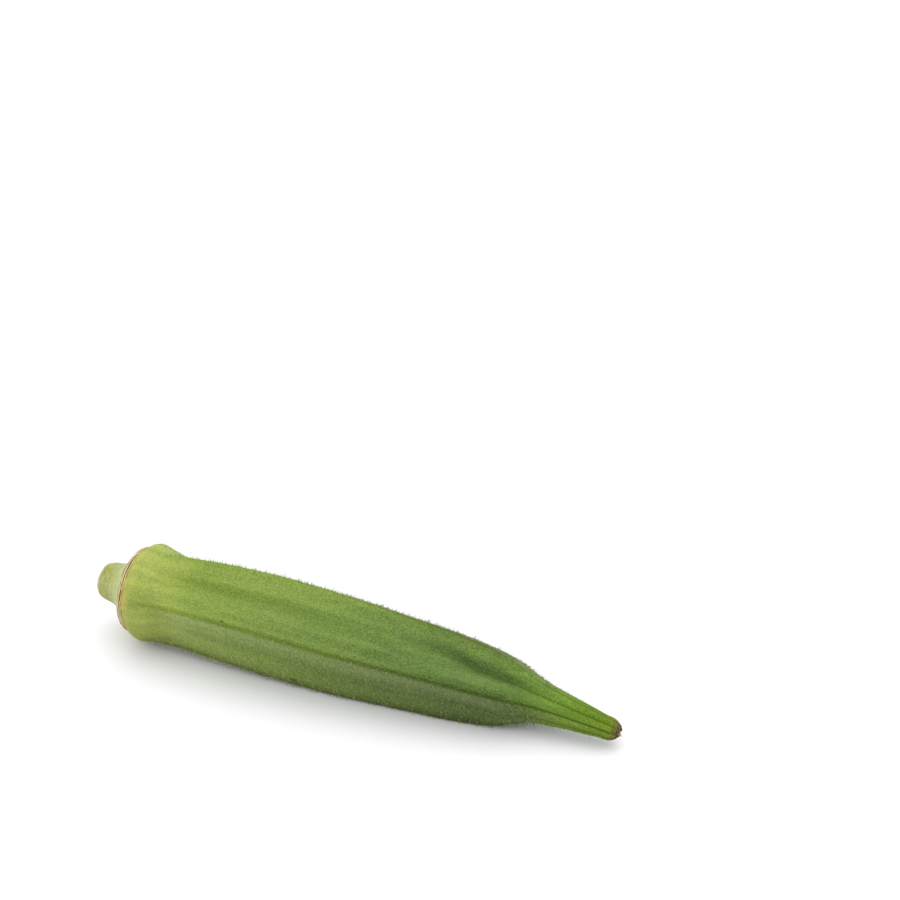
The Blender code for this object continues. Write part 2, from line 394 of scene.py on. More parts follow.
# Four small rubbed marks: (distance along, degrees round from the top, radius, length, strength).
for place, degrees, out_by, long_by, strength in ((33.1, -68.9, 0.35, 0.5, 0.7),
                                                  (47.8, -137.2, 0.6, 1.6, 0.6),
                                                  (54.1, -8.1, 0.4, 0.6, 0.35),
                                                  (88.7, -59.0, 0.3, 0.6, 0.35)):
    off_along = add(tree, MATH, add(tree, MATH, along, place, operation="SUBTRACT"), long_by,
                    operation="DIVIDE")
    off_round = add(tree, MATH, add(tree, MATH, add(tree, MATH, around, math.radians(degrees),
                                                    operation="SUBTRACT"), radius,
                                    operation="MULTIPLY"), out_by, operation="DIVIDE")
    off_mark = add(tree, VECTOR_MATH, add(tree, "ShaderNodeCombineXYZ", off_along, off_round),
                   operation="LENGTH")
    ragged = add(tree, MATH, grain, 1.2, off_mark, operation="MULTIPLY_ADD")
    colour = add(tree, MIX, add(tree, MAP, ragged, 1.6, 1.1, 0.0, strength), colour, "#3F2F12",
                 data_type="RGBA")
rough = add(tree, MAP, grain, 0.3, 0.7, 0.5, 0.68)
bump = add(tree, "ShaderNodeBump", 0.35, 0.15 * MM, None,
           add(tree, MATH, veins, 0.8, grain, operation="MULTIPLY_ADD"))
shader = add(tree, "ShaderNodeBsdfPrincipled", colour, 0.0, rough, 1.45, 1.0, bump)
shader.inputs["Specular IOR Level"].default_value = 0.15
shader.inputs["Sheen Weight"].default_value = 0.04
shader.inputs["Sheen Roughness"].default_value = 0.5
shader.inputs["Sheen Tint"].default_value = linear("#D5DFB4")
add(tree, "ShaderNodeOutputMaterial", shader)

# The tree presses the five faces into the turned wall, lays it along +X with a ridge on top,
# and raises the ridge cords, the tip's ribs and the skin's own unevenness.
tree, given = new_tree("five_ridges", Ridge_cord="Float", Tip_rib="Float", Vein_relief="Float",
                       Swelling="Float", Material="Material")
axes = add(tree, "ShaderNodeSeparateXYZ", add(tree, "GeometryNodeInputPosition"))
along = add(tree, MATH, axes.outputs["Z"], -1.0 / MM, operation="MULTIPLY")
side = add(tree, MATH, axes.outputs["Y"], 1.0 / MM, operation="MULTIPLY")
up = add(tree, MATH, axes.outputs["X"], 1.0 / MM, operation="MULTIPLY")
around = add(tree, MATH, side, up, operation="ARCTAN2")
radius = add(tree, MATH, add(tree, MATH, side, side, add(tree, MATH, up, up, operation="MULTIPLY"),
                             operation="MULTIPLY_ADD"), operation="SQRT")
folded = add(tree, MATH, around, HALF_FACE, operation="PINGPONG")
reach = add(tree, MATH, add(tree, MATH, folded, folded, RIDGE_ROUNDING ** 2,
                            operation="MULTIPLY_ADD"), operation="SQRT")
reach_most = math.hypot(HALF_FACE, RIDGE_ROUNDING) - RIDGE_ROUNDING
turn_left = add(tree, MATH, add(tree, MATH, reach, RIDGE_ROUNDING, operation="SUBTRACT"),
                -HALF_FACE / reach_most, HALF_FACE, operation="MULTIPLY_ADD")
flat = add(tree, MATH, math.cos(HALF_FACE), add(tree, MATH, turn_left, operation="COSINE"),
           operation="DIVIDE")
deepest = 1.0 - math.cos(HALF_FACE)
sunk = add(tree, MATH, flat, -1.0 / deepest, 1.0 / deepest, operation="MULTIPLY_ADD")
depth = add(tree, "ShaderNodeFloatCurve", 1.0,
            add(tree, MATH, along, POD_LENGTH, operation="DIVIDE"))
knots = depth.mapping.curves[0].points
while len(knots) < len(HOLLOW):
    knots.new(0.5, 0.5)
for knot, (place, share) in zip(knots, HOLLOW):
    knot.location = (place / POD_LENGTH, share)
    knot.handle_type = "AUTO_CLAMPED"
depth.mapping.update()
keep = add(tree, MATH, 1.0, add(tree, MATH, sunk, depth, operation="MULTIPLY"),
           operation="SUBTRACT")
round_place = add(tree, "ShaderNodeCombineXYZ", along, side, up)
keep_mm = add(tree, MATH, keep, MM, operation="MULTIPLY")
keeps = add(tree, "ShaderNodeCombineXYZ", MM, keep_mm, keep_mm)
from_ridge = add(tree, MATH, folded, radius, operation="MULTIPLY")
from_seam = add(tree, MATH, add(tree, MATH, HALF_FACE, folded, operation="SUBTRACT"), radius,
                operation="MULTIPLY")
shape = add(tree, "GeometryNodeStoreNamedAttribute", given["Geometry"], None, "straight",
            round_place, data_type="FLOAT_VECTOR")
shape = add(tree, "GeometryNodeStoreNamedAttribute", shape, None, "from_ridge", from_ridge)
shape = add(tree, "GeometryNodeStoreNamedAttribute", shape, None, "from_seam", from_seam)
shape = add(tree, "GeometryNodeSetPosition", shape, None,
            add(tree, VECTOR_MATH, round_place, keeps, operation="MULTIPLY"))
# From here on the reliefs are read back from what was stored, because the points have moved.
straight = add(tree, "GeometryNodeInputNamedAttribute", "straight", data_type="FLOAT_VECTOR")
axes = add(tree, "ShaderNodeSeparateXYZ", straight)
along = axes.outputs["X"]
from_ridge = add(tree, "GeometryNodeInputNamedAttribute", "from_ridge")
body_share = add(tree, MATH, add(tree, MAP, along, 12.0, 24.0), add(tree, MAP, along, 98.0, 88.0),
                 operation="MULTIPLY")
cord = add(tree, MATH, add(tree, MAP, from_ridge, 1.0, 0.0, 0.0, 1.0,
                           interpolation_type="SMOOTHERSTEP"), body_share, operation="MULTIPLY")
around = add(tree, MATH, axes.outputs["Y"], axes.outputs["Z"], operation="ARCTAN2")
wave = add(tree, MATH, add(tree, MATH, around, 10.0, operation="MULTIPLY"), operation="COSINE")
rib_share = add(tree, MATH, add(tree, MAP, along, 84.0, 100.0),
                add(tree, MAP, along, POD_LENGTH - 0.2, POD_LENGTH - 2.5), operation="MULTIPLY")
ribs = add(tree, MATH, wave, rib_share, operation="MULTIPLY")
vein = add(tree, NOISE, add(tree, VECTOR_MATH, straight, (1 / 20, 1 / 1.4, 1 / 1.4),
                            operation="MULTIPLY"), 1.0, 2.0, 0.5)
swell = add(tree, NOISE, add(tree, VECTOR_MATH, straight, (1 / 9, 1 / 5, 1 / 5),
                             operation="MULTIPLY"), 1.0, 1.0, 0.5)
relief = add(tree, MATH, cord, given["Ridge_cord"], operation="MULTIPLY")
relief = add(tree, MATH, add(tree, MATH, ribs, given["Tip_rib"], operation="MULTIPLY"), -1.0,
             relief, operation="MULTIPLY_ADD")
relief = add(tree, MATH, add(tree, MATH, vein, 0.5, operation="SUBTRACT"), given["Vein_relief"],
             relief, operation="MULTIPLY_ADD")
relief = add(tree, MATH, add(tree, MATH, swell, 0.5, operation="SUBTRACT"), given["Swelling"],
             relief, operation="MULTIPLY_ADD")
offset = add(tree, VECTOR_MATH, add(tree, "GeometryNodeInputNormal"),
             add(tree, MATH, relief, MM, operation="MULTIPLY"), operation="SCALE")
shape = add(tree, "GeometryNodeSetPosition", shape, None, None, offset)
shape = add(tree, "GeometryNodeRealizeInstances", shape)
shape = add(tree, "GeometryNodeSetMaterial", shape, None, given["Material"])
add(tree, "NodeGroupOutput", shape)

spine = smooth_curve("spine", SPINE, 32)


def bent(thing):
    """Bends a straight pod part along the middle line and pitches it to where it rests."""
    bend = thing.modifiers.new("bend", "CURVE")
    bend.object = spine
    bend.deform_axis = "POS_X"
    mesh = plain_mesh(thing)
    mesh.transform(Matrix.Rotation(REST_PITCH, 4, "Y"))
    return mesh


wall = turned("pod_wall", WALL, WALL_STATIONS, WALL_SIDES)
grow(wall, tree, Ridge_cord=0.22, Tip_rib=0.10, Vein_relief=0.18, Swelling=0.25, Material=skin)
wall_mesh = bent(wall)


# ---------------------------------------------------------------------------------------------
# Cap and stem. The pale cap that held the flower's cup, and the short stem cut off by knife.
# Smooth and almost hairless; it shows small dark specks, and the cut shows pith and fibres.
CUT_RADIUS = 3.2
CAP = ((0.0, 0.0), (0.0, CUT_RADIUS), (0.7, 3.75), (4.4, 4.7), (6.6, 6.5), (8.0, 8.45),
       (RING_AT, RING_RADIUS - 0.05), (RING_AT + 0.6, 8.3))
cap_skin, tree = new_material("okra_cap_smooth")
straight = add(tree, "ShaderNodeAttribute", attribute_name="straight").outputs["Vector"]
along = add(tree, "ShaderNodeSeparateXYZ", straight).outputs["X"]
clouds = add(tree, NOISE, add(tree, VECTOR_MATH, straight, 1 / 3, operation="SCALE"),
             1.0, 3.0, 0.55)
fine = add(tree, NOISE, add(tree, VECTOR_MATH, straight, (2.0, 3.0, 3.0), operation="MULTIPLY"),
           1.0, 3.0, 0.6)
reach = add(tree, MATH, add(tree, MATH, clouds, 0.5, operation="SUBTRACT"), 5.0, along,
            operation="MULTIPLY_ADD")
colour = add(tree, "ShaderNodeValToRGB", add(tree, MATH, reach, RING_AT, operation="DIVIDE"),
             stops=((0.0, "#87822E"), (0.18, "#878A36"), (0.45, "#8E9648"), (0.7, "#A3AA6C"),
                    (1.0, "#AFB684")))
# Fine growth lines go round it, 0.4 mm wide and 3 mm long.
rounds = add(tree, NOISE, add(tree, VECTOR_MATH, straight, (2.5, 0.35, 0.35),
                              operation="MULTIPLY"), 1.0, 2.0, 0.6)
colour = add(tree, MIX, add(tree, MAP, rounds, 0.4, 0.65, 0.0, 0.25), colour, "#C9C9A0",
             data_type="RGBA")
colour = add(tree, MIX, add(tree, MAP, rounds, 0.5, 0.3, 0.0, 0.25), colour, "#7E7A22",
             data_type="RGBA")
colour = add(tree, MIX, add(tree, MAP, fine, 0.35, 0.65),
             add(tree, MIX, 0.2, colour, "#56691F", data_type="RGBA"),
             add(tree, MIX, 0.2, colour, "#C4C99A", data_type="RGBA"), data_type="RGBA")
# Small dark specks, 0.25 mm across, about one to each 3 mm.
cells = add(tree, CELLS, add(tree, VECTOR_MATH, straight, 1 / 2.6, operation="SCALE"))
colour = add(tree, MIX, add(tree, MAP, cells, 0.11, 0.05, 0.0, 0.6), colour, "#5E5A2A",
             data_type="RGBA")
# The knife's cut: cream pith, fibre bundles 0.4 mm across, and a brown dried rim.
across = add(tree, VECTOR_MATH, straight, (0.0, 1.0, 1.0), operation="MULTIPLY")
from_middle = add(tree, VECTOR_MATH, across, operation="LENGTH")
bundles = add(tree, CELLS, add(tree, VECTOR_MATH, across, 1 / 0.45, operation="SCALE"))
pith = add(tree, MIX, add(tree, MAP, bundles, 0.1, 0.3, 1.0, 0.0), "#D2CB9B", "#8F7540",
           data_type="RGBA")
pith = add(tree, MIX, add(tree, MAP, clouds, 0.45, 0.65, 0.0, 0.5), pith, "#B7A46C",
           data_type="RGBA")
rim = add(tree, MAP, add(tree, MATH, fine, 0.8, from_middle, operation="MULTIPLY_ADD"),
          CUT_RADIUS - 0.2, CUT_RADIUS + 0.3)
pith = add(tree, MIX, rim, pith, "#86683A", data_type="RGBA")
colour = add(tree, MIX, add(tree, MAP, along, 0.25, 0.05), colour, pith, data_type="RGBA")
scorched = add(tree, MAP, reach, 1.6, -0.5, 0.0, 0.5)
colour = add(tree, MIX, scorched, colour, "#7D6A30", data_type="RGBA")
# The cut edge is a pale line 0.5 mm wide: partly dried tissue, partly a painted highlight on the
# rim.
dried_and_rim_highlight = add(tree, MATH, add(tree, MAP, along, 0.75, 0.35, 0.0, 0.6),
            add(tree, MAP, from_middle, CUT_RADIUS - 0.35, CUT_RADIUS - 0.1), operation="MULTIPLY")
colour = add(tree, MIX, dried_and_rim_highlight, colour, "#CFCCA2", data_type="RGBA")
rough = add(tree, MAP, fine, 0.3, 0.7, 0.42, 0.6)
bump = add(tree, "ShaderNodeBump", 0.3, 0.1 * MM, None, fine)
shader = add(tree, "ShaderNodeBsdfPrincipled", colour, 0.0, rough, 1.45, 1.0, bump)
shader.inputs["Specular IOR Level"].default_value = 0.3
add(tree, "ShaderNodeOutputMaterial", shader)

# The tree lays the turned cap along +X and gives it its shallow dents, and the cut its fibres.
tree, given = new_tree("cap_relief", Dents="Float", Fibres="Float", Material="Material")
axes = add(tree, "ShaderNodeSeparateXYZ", add(tree, "GeometryNodeInputPosition"))
round_place = add(tree, "ShaderNodeCombineXYZ",
                  add(tree, MATH, axes.outputs["Z"], -1.0 / MM, operation="MULTIPLY"),
                  add(tree, MATH, axes.outputs["Y"], 1.0 / MM, operation="MULTIPLY"),
                  add(tree, MATH, axes.outputs["X"], 1.0 / MM, operation="MULTIPLY"))
shape = add(tree, "GeometryNodeStoreNamedAttribute", given["Geometry"], None, "straight",
            round_place, data_type="FLOAT_VECTOR")
shape = add(tree, "GeometryNodeSetPosition", shape, None,
            add(tree, VECTOR_MATH, round_place, MM, operation="SCALE"))
straight = add(tree, "GeometryNodeInputNamedAttribute", "straight", data_type="FLOAT_VECTOR")
along = add(tree, "ShaderNodeSeparateXYZ", straight).outputs["X"]
dents = add(tree, NOISE, add(tree, VECTOR_MATH, straight, (1 / 6, 1 / 3, 1 / 3),
                             operation="MULTIPLY"), 1.0, 2.0, 0.5)
fibres = add(tree, NOISE, add(tree, VECTOR_MATH, straight, (0.0, 2.0, 2.0),
                              operation="MULTIPLY"), 1.0, 2.0, 0.5)
on_cut = add(tree, MAP, along, 0.3, 0.0)
relief = add(tree, MATH, add(tree, MATH, dents, 0.5, operation="SUBTRACT"), given["Dents"],
             operation="MULTIPLY")
fibre_relief = add(tree, MATH, add(tree, MATH, fibres, 0.5, operation="SUBTRACT"), on_cut,
                   operation="MULTIPLY")
relief = add(tree, MATH, fibre_relief, given["Fibres"], relief, operation="MULTIPLY_ADD")
offset = add(tree, VECTOR_MATH, add(tree, "GeometryNodeInputNormal"),
             add(tree, MATH, relief, MM, operation="MULTIPLY"), operation="SCALE")
shape = add(tree, "GeometryNodeSetPosition", shape, None, None, offset)
shape = add(tree, "GeometryNodeRealizeInstances", shape)
shape = add(tree, "GeometryNodeSetMaterial", shape, None, given["Material"])
add(tree, "NodeGroupOutput", shape)
cap = turned("cap_and_stem", CAP, 120, 240)
grow(cap, tree, Dents=0.35, Fibres=0.35, Material=cap_skin)
cap_mesh = bent(cap)

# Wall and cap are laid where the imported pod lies: its stem end, its middle and its underside.
corners = np.array([v.co for mesh in (wall_mesh, cap_mesh) for v in mesh.vertices])
low, high = corners.min(axis=0), corners.max(axis=0)
to_frame = Matrix.Translation((cad_low[0] - low[0], middle.y - (low[1] + high[1]) / 2.0,
                               cad_low[2] - low[2]))


def piece(name, mesh):
    """A finished piece at the origin, riding on the one body."""
    made = put(name, mesh)
    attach(made, "root")
    return made


wall_mesh.transform(to_frame)
pod_wall = piece("pod_wall", wall_mesh)
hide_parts("okra_pod")
cap_mesh.transform(to_frame)
piece("cap_and_stem", cap_mesh)


# ---------------------------------------------------------------------------------------------
# Ring scar. Where the flower's cup fell away a ring of dead tissue stays round the pod: thin dry
# strands, tan and dark brown, that wander, thicken and cross as they go round.
# Each strand: distance past the ring, radius, half its width, and tone from dark to pale.
STRANDS = ((-0.5, 8.88, 0.07, 0.3), (-0.2, 8.95, 0.15, 0.9), (0.1, 8.97, 0.11, 0.15),
           (0.38, 9.06, 0.15, 0.85), (0.68, 9.2, 0.09, 0.25))
dry_ring, tree = new_material("ring_scar_dry_tissue")
straight = add(tree, "ShaderNodeAttribute", attribute_name="straight").outputs["Vector"]
tone = add(tree, "ShaderNodeAttribute", attribute_name="tone").outputs["Fac"]
# Fibres 0.2 mm wide in stretches of 1.5 mm, and brown stretches 3 mm long.
flecks = add(tree, NOISE, add(tree, VECTOR_MATH, straight, (5.0, 0.7, 0.7),
                              operation="MULTIPLY"), 1.0, 3.0, 0.6)
stretches = add(tree, NOISE, add(tree, VECTOR_MATH, straight, 1 / 3, operation="SCALE"),
                1.0, 2.0, 0.5)
tone = add(tree, MATH, add(tree, MATH, flecks, 0.5, operation="SUBTRACT"), 0.9, tone,
           operation="MULTIPLY_ADD")
tone = add(tree, MATH, add(tree, MATH, stretches, 0.5, operation="SUBTRACT"), 0.9, tone,
           operation="MULTIPLY_ADD")
colour = add(tree, "ShaderNodeValToRGB", tone, stops=(
    (0.0, "#573C1A"), (0.3, "#7B5C30"), (0.6, "#A4884E"), (0.9, "#CDBD8A")))
bump = add(tree, "ShaderNodeBump", 0.5, 0.1 * MM, None, flecks)
rough = add(tree, MAP, flecks, 0.3, 0.7, 0.65, 0.85)
shader = add(tree, "ShaderNodeBsdfPrincipled", colour, 0.0, rough, 1.45, 1.0, bump)
add(tree, "ShaderNodeOutputMaterial", shader)

# The tree draws each strand as a circle round +X, wanders it, and gives it an uneven thickness.
tree, given = new_tree("torn_strands", Wander="Float", Lift="Float", Material="Material")
strands = add(tree, "GeometryNodeJoinGeometry")
for number, (offset, radius, half_width, tone) in enumerate(STRANDS):
    circle = add(tree, "GeometryNodeCurvePrimitiveCircle", 420, radius * MM, mode="RADIUS")
    axes = add(tree, "ShaderNodeSeparateXYZ", add(tree, "GeometryNodeInputPosition"))
    place = add(tree, VECTOR_MATH, add(tree, "GeometryNodeInputPosition"), 1 / (3.5 * MM),
                operation="SCALE")
    wander = add(tree, NOISE, place, 7.3 * number, 1.0, 3.0, 0.6, noise_dimensions="4D")
    along = add(tree, MATH, add(tree, MATH, wander, 0.5, operation="SUBTRACT"), given["Wander"],
                operation="MULTIPLY")
    along = add(tree, MATH, add(tree, MATH, along, RING_AT + offset, operation="ADD"), MM,
                operation="MULTIPLY")
    turned_up = add(tree, "ShaderNodeCombineXYZ", along, axes.outputs["X"], axes.outputs["Y"])
    lift = add(tree, NOISE, add(tree, VECTOR_MATH, place, 2.5, operation="SCALE"),
               3.1 * number + 50.0, 1.0, 2.0, 0.5, noise_dimensions="4D")
    lift = add(tree, MATH, add(tree, MATH, lift, 0.5, operation="SUBTRACT"), given["Lift"], 1.0,
               operation="MULTIPLY_ADD")
    lifts = add(tree, "ShaderNodeCombineXYZ", 1.0, lift, lift)
    line = add(tree, "GeometryNodeSetPosition", circle, None,
               add(tree, VECTOR_MATH, turned_up, lifts, operation="MULTIPLY"))
    width = add(tree, NOISE, add(tree, VECTOR_MATH, place, 2.0, operation="SCALE"),
                11.7 * number + 20.0, 1.0, 2.0, 0.6, noise_dimensions="4D")
    profile = add(tree, "GeometryNodeCurvePrimitiveCircle", 8, half_width * MM, mode="RADIUS")
    strand = add(tree, "GeometryNodeCurveToMesh", line, profile,
                 add(tree, MAP, width, 0.3, 0.7, 0.45, 1.35))
    strand = add(tree, "GeometryNodeStoreNamedAttribute", strand, None, "tone", tone)
    tree.links.new(strand.outputs[0], strands.inputs[0])
place = add(tree, VECTOR_MATH, add(tree, "GeometryNodeInputPosition"), 1 / MM, operation="SCALE")
shape = add(tree, "GeometryNodeStoreNamedAttribute", strands, None, "straight", place,
            data_type="FLOAT_VECTOR")
shape = add(tree, "GeometryNodeSetShadeSmooth", shape, None, True)
shape = add(tree, "GeometryNodeRealizeInstances", shape)
shape = add(tree, "GeometryNodeSetMaterial", shape, None, given["Material"])
add(tree, "NodeGroupOutput", shape)
ring = put("ring_scar", bpy.data.meshes.new("ring_scar"))
grow(ring, tree, Wander=0.9, Lift=0.03, Material=dry_ring)
ring_mesh = bent(ring)
ring_mesh.transform(to_frame)
piece("ring_scar", ring_mesh)


# ---------------------------------------------------------------------------------------------
# Dry tip. The withered foot of the flower's style crusts the pod's end: small dark brown lumps
# with olive skin between them, and a few dry threads that curl out.
LUMP_REACH = 1.5  # from the pod's own middle line
# Each thread: length, sideways and upward share of its direction, and radius.
THREADS = ((1.1, 0.6, -0.9, 0.13), (0.7, -0.8, -0.5, 0.10), (0.6, 0.9, 0.4, 0.08))
dry_tip, tree = new_material("dry_tip_brown")
straight = add(tree, "ShaderNodeAttribute", attribute_name="straight").outputs["Vector"]
# Blotches 0.5 mm across.
blotches = add(tree, NOISE, add(tree, VECTOR_MATH, straight, 2.0, operation="SCALE"), 1.0, 3.0,
               0.6)
colour = add(tree, "ShaderNodeValToRGB", blotches, stops=(
    (0.3, "#1F160B"), (0.48, "#3F2C15"), (0.62, "#7A6130"), (0.75, "#A08D4A")))
rough = add(tree, MAP, blotches, 0.3, 0.7, 0.6, 0.8)
bump = add(tree, "ShaderNodeBump", 0.5, 0.1 * MM, None, blotches)
shader = add(tree, "ShaderNodeBsdfPrincipled", colour, 0.0, rough, 1.45, 1.0, bump)
add(tree, "ShaderNodeOutputMaterial", shader)

# The tree drops lumps over the rounded end and bows each thread as it leaves.
tree, given = new_tree("withered_end", Lumps="Int", Lump_size="Float", Roughness="Float",
                       Material="Material")
turned_to = add(tree, "FunctionNodeRandomValue", 0.0, 2.0 * math.pi, None, 4, data_type="FLOAT")
out = add(tree, MATH, add(tree, MATH, add(tree, "FunctionNodeRandomValue", 0.0, 1.0, None, 5,
                                          data_type="FLOAT"), operation="SQRT"), LUMP_REACH,
          operation="MULTIPLY")
back_by = add(tree, MATH, add(tree, MATH, out, out, operation="MULTIPLY"), -0.26,
              POD_LENGTH - 0.2, operation="MULTIPLY_ADD")
place = add(tree, "ShaderNodeCombineXYZ", back_by,
            add(tree, MATH, out, add(tree, MATH, turned_to, operation="SINE"),
                operation="MULTIPLY"),
            add(tree, MATH, out, add(tree, MATH, turned_to, operation="COSINE"),
                operation="MULTIPLY"))
points = add(tree, "GeometryNodePoints", given["Lumps"],
             add(tree, VECTOR_MATH, place, MM, operation="SCALE"))
lump = add(tree, "GeometryNodeMeshIcoSphere", add(tree, MATH, given["Lump_size"], MM,
                                                  operation="MULTIPLY"), 2)
spun = add(tree, "FunctionNodeRandomValue", (0.0, 0.0, 0.0), (6.2, 6.2, 6.2), None, 6,
           data_type="FLOAT_VECTOR")
stretched = add(tree, "FunctionNodeRandomValue", (0.5, 0.5, 0.6), (1.0, 1.0, 1.7), None, 7,
                data_type="FLOAT_VECTOR")
lumps = add(tree, "GeometryNodeRealizeInstances", add(
    tree, "GeometryNodeInstanceOnPoints", points, None, lump, None, None, spun, stretched))
joined = add(tree, "GeometryNodeJoinGeometry")
tree.links.new(lumps.outputs[0], joined.inputs[0])
for length, to_side, to_top, thickness in THREADS:
    start = Vector((POD_LENGTH - 0.5, 0.5 * to_side, 0.5 * to_top)) * MM
    end = start + Vector((0.75, 0.5 * to_side, 0.5 * to_top)) * length * MM
    line = add(tree, "GeometryNodeCurvePrimitiveLine", start, end)
    line = add(tree, "GeometryNodeResampleCurve", line, None, 14)
    share = add(tree, "GeometryNodeSplineParameter").outputs["Factor"]
    bow = add(tree, MATH, add(tree, MATH, share, share, operation="MULTIPLY"),
              0.45 * length * MM, operation="MULTIPLY")
    line = add(tree, "GeometryNodeSetPosition", line, None, None,
               add(tree, VECTOR_MATH, (-0.3, to_side, to_top), bow, operation="SCALE"))
    thread = add(tree, "GeometryNodeCurveToMesh", line,
                 add(tree, "GeometryNodeCurvePrimitiveCircle", 8, thickness * MM, mode="RADIUS"),
                 add(tree, MAP, share, 0.0, 1.0, 1.0, 0.35), True)
    tree.links.new(thread.outputs[0], joined.inputs[0])
place = add(tree, VECTOR_MATH, add(tree, "GeometryNodeInputPosition"), 1 / MM, operation="SCALE")
shape = add(tree, "GeometryNodeStoreNamedAttribute", joined, None, "straight", place,
            data_type="FLOAT_VECTOR")
crumple = add(tree, NOISE, add(tree, VECTOR_MATH, place, 3.0, operation="SCALE"), 1.0, 2.0, 0.5)
offset = add(tree, VECTOR_MATH, add(tree, "GeometryNodeInputNormal"),
             add(tree, MATH, add(tree, MATH, crumple, 0.5, operation="SUBTRACT"),
                 add(tree, MATH, given["Roughness"], MM, operation="MULTIPLY"),
                 operation="MULTIPLY"), operation="SCALE")
shape = add(tree, "GeometryNodeSetPosition", shape, None, None, offset)
shape = add(tree, "GeometryNodeSetShadeSmooth", shape, None, True)
shape = add(tree, "GeometryNodeRealizeInstances", shape)
shape = add(tree, "GeometryNodeSetMaterial", shape, None, given["Material"])
add(tree, "NodeGroupOutput", shape)
tip = put("dry_tip", bpy.data.meshes.new("dry_tip"))
grow(tip, tree, Lumps=30, Lump_size=0.34, Roughness=0.35, Material=dry_tip)
tip_mesh = bent(tip)
tip_mesh.transform(to_frame)
piece("dry_tip", tip_mesh)


# ---------------------------------------------------------------------------------------------
# Down. Fine pale hairs grow all over the wall, each one cell thick and a little bent; they stand
# longer and closer along the ridges, and thin out on the tip.
UNDERSIDE = -0.88  # a hair heading further down than this grows on the underside
NO_GROWTH = 1.2  # height under which the underside bears no hairs
PRESSED_TO, LEAST_CLEAR = 0.45, 0.2  # heights that a hair's end is pressed up to, and must keep
hair_stuff, tree = new_material("plant_hair_pale")
height = add(tree, "ShaderNodeAttribute", attribute_name="hair_height").outputs["Fac"]
kind = add(tree, "ShaderNodeAttribute", attribute_name="hair_tone").outputs["Fac"]
colour = add(tree, "ShaderNodeValToRGB", height, stops=(
    (0.0, "#6E7F38"), (0.4, "#8E965C"), (1.0, "#9C9C72")))
colour = add(tree, MIX, kind, colour, "#B6C27C", data_type="RGBA")
# The skin's own green shows through the hairs, deeper towards the tip.
along = add(tree, "ShaderNodeSeparateXYZ", add(tree, "ShaderNodeAttribute",
                                               attribute_name="straight").outputs["Vector"])
colour = add(tree, MIX, add(tree, MAP, along, 40.0, 88.0, 0.1, 0.55), colour, "#4F6236",
             data_type="RGBA")
shader = add(tree, "ShaderNodeBsdfPrincipled", colour, 0.0, 0.6, 1.5, 1.0)
add(tree, "ShaderNodeOutputMaterial", shader)

# The tree scatters hairs on the wall's faces, leans each one, and keeps them clear of the table.
# A hair is a three-sided spike, bent towards its end.
tree, given = new_tree("downy_hairs", Density="Float", Nearest="Float", Farthest="Float",
                       Length="Float", Radius="Float", Lean="Float", Bow="Float",
                       Paleness="Float", Bareness="Float", Starts_at="Float",
                       Full_from="Float", Segments="Int", Seed="Int", Material="Material")
straight = add(tree, "GeometryNodeInputNamedAttribute", "straight", data_type="FLOAT_VECTOR")
along = add(tree, "ShaderNodeSeparateXYZ", straight).outputs["X"]
from_ridge = add(tree, "GeometryNodeInputNamedAttribute", "from_ridge")
share = add(tree, MATH, add(tree, MAP, along, given["Starts_at"], given["Full_from"], 0.06, 1.0),
            add(tree, MAP, along, 106.0, 93.0, 0.03, 1.0), operation="MULTIPLY")
near = add(tree, MAP, from_ridge, given["Farthest"], given["Nearest"])
away = add(tree, "ShaderNodeSeparateXYZ", straight)
upness = add(tree, MATH, add(tree, MATH, away.outputs["Y"], away.outputs["Z"],
                             operation="ARCTAN2"), operation="COSINE")
off_middle = add(tree, MATH, add(tree, MATH, upness, MIDDLE_RIDGE, operation="SUBTRACT"),
                 operation="ABSOLUTE")
bare = add(tree, MATH, add(tree, MAP, off_middle, 0.15, 0.3), given["Bareness"],
           add(tree, MATH, 1.0, given["Bareness"], operation="SUBTRACT"),
           operation="MULTIPLY_ADD")
near = add(tree, MATH, near, bare, operation="MULTIPLY")
density = add(tree, MATH, add(tree, MATH, share, near, operation="MULTIPLY"), given["Density"],
              operation="MULTIPLY")
scattered = add(tree, "GeometryNodeDistributePointsOnFaces", given["Geometry"], None, density,
                given["Seed"])
lean = add(tree, "FunctionNodeRandomValue", (-0.6, -1.0, -1.0), (1.3, 1.0, 1.0), None,
           given["Seed"], data_type="FLOAT_VECTOR")
lean = add(tree, VECTOR_MATH, lean, given["Lean"], operation="SCALE")
heading = add(tree, VECTOR_MATH, add(tree, VECTOR_MATH, scattered.outputs["Normal"], lean,
                                     operation="ADD"), operation="NORMALIZE")
points = add(tree, "GeometryNodeStoreNamedAttribute", scattered.outputs["Points"], None,
             "heading", heading, data_type="FLOAT_VECTOR")
chance = add(tree, "FunctionNodeRandomValue", 0.45, 1.2, None, 7, data_type="FLOAT")
points = add(tree, "GeometryNodeStoreNamedAttribute", points, None, "size", chance)
